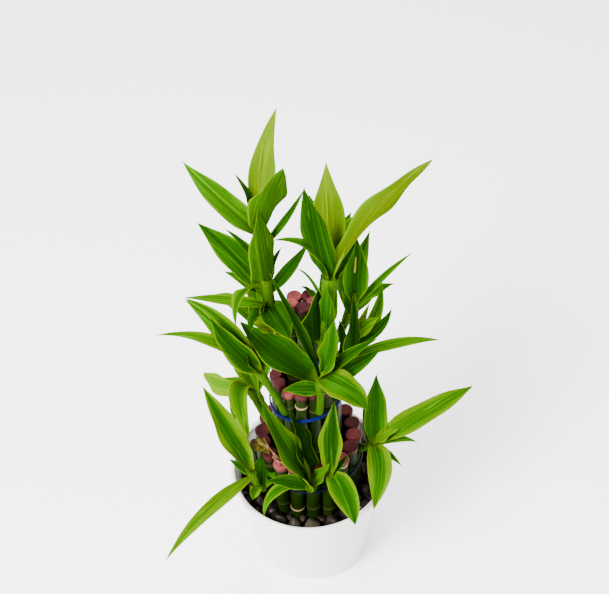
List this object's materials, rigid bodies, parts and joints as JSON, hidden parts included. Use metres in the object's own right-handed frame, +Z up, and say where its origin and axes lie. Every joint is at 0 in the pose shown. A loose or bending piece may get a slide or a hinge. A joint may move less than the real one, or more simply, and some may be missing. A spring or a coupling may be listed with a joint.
{
  "type": "potted lucky bamboo tower",
  "caption": "Lucky bamboo in a tapered white pot: three stepped tiers of upright green canes with wax-sealed tops, wire ties and arching striped leaves.",
  "frame": {"origin": "centre of the pot's flat foot, on the surface it stands on", "axes": "+Z up along the tower, -Y towards the side the picture was taken from, +X to the right as seen from there"},
  "size_m": [0.2368, 0.1927, 0.4279],
  "materials": {
    "pot": "smooth glossy white glaze",
    "gravel": "dark brown-black broken stones",
    "cane": "satin dark green cane skin with pale node rings",
    "wax": "dull rose-red sealing wax",
    "tie": "blue coated wire",
    "bright_leaf": "waxy leaf, lime margins round a green middle; leather stands in for living leaf",
    "dark_leaf": "waxy leaf, dark green with a paler edge; leather stands in for living leaf"
  },
  "bodies": {
    "root": {"pot": "pot", "gravel_bed": "gravel", "cane_outer_01": "cane", "cane_outer_02": "cane", "cane_outer_03": "cane", "cane_outer_04": "cane", "cane_outer_05": "cane", "cane_outer_06": "cane", "cane_outer_07": "cane", "cane_outer_08": "cane", "cane_outer_09": "cane", "cane_outer_10": "cane", "cane_outer_11": "cane", "cane_outer_12": "cane", "cane_outer_13": "cane", "cane_outer_14": "cane", "cane_outer_15": "cane", "cane_outer_16": "cane", "cane_outer_17": "cane", "cane_outer_18": "cane", "cane_middle_01": "cane", "cane_middle_02": "cane", "cane_middle_03": "cane", "cane_middle_04": "cane", "cane_middle_05": "cane", "cane_middle_06": "cane", "cane_middle_07": "cane", "cane_middle_08": "cane", "cane_middle_09": "cane", "cane_middle_10": "cane", "cane_middle_11": "cane", "cane_middle_12": "cane", "cane_middle_13": "cane", "cane_middle_14": "cane", "cane_inner_01": "cane", "cane_inner_02": "cane", "cane_inner_03": "cane", "cane_inner_04": "cane", "cane_inner_05": "cane", "wax_tips_outer": "wax", "wax_tips_middle": "wax", "wax_tips_inner": "wax", "tie_outer": "tie", "tie_middle": "tie", "tie_inner": "tie", "shoot_upper_left": "bright_leaf", "shoot_upper_right": "bright_leaf", "shoot_right": "dark_leaf", "shoot_front_upper": "dark_leaf", "shoot_left": "bright_leaf", "shoot_left_low": "bright_leaf", "shoot_rim_left": "bright_leaf", "shoot_front": "dark_leaf", "shoot_front_right": "dark_leaf", "shoot_rim_right": "bright_leaf", "shoot_upper_back": "dark_leaf", "shoot_back_right": "dark_leaf", "shoot_back_left": "dark_leaf", "shoot_rim_back_right": "dark_leaf", "shoot_rim_back_left": "dark_leaf"}
  },
  "joints": []
}
